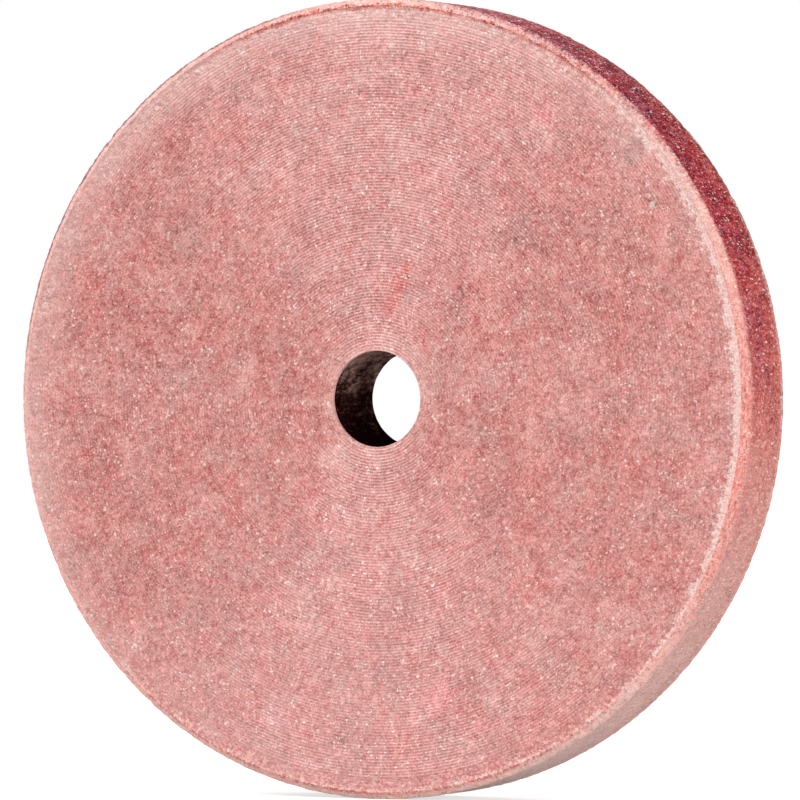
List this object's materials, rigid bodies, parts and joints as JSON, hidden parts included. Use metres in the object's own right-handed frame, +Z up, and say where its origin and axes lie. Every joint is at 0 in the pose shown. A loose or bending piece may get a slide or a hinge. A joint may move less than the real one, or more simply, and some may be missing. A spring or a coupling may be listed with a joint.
{
  "type": "grinding wheel",
  "caption": "Straight diamond grinding wheel: a thin working rim on a backing ring and a turned core, with a lined plain bore for a spindle.",
  "frame": {"origin": "centre of the wheel, on the spindle axis and midway between the two faces", "axes": "+Y along the spindle axis towards the back face, +Z up, +X to the right seen from the front"},
  "size_m": [0.1, 0.012, 0.1],
  "materials": {
    "diamond_layer": "dense ruby-red abrasive layer with glinting grit, dressed smooth on the rim and broken at the edges",
    "backing_layer": "pale pink, fine grained, slightly crumbled along its turned face",
    "core_body": "matt pink pressed grain with fine turned rings, pits and glints",
    "sleeve_lining": "dark brown, scuffed, with a dull sheen"
  },
  "bodies": {
    "root": {"diamond_rim": "diamond_layer", "backing_ring": "backing_layer", "core": "core_body", "bore_sleeve": "sleeve_lining"}
  },
  "joints": []
}
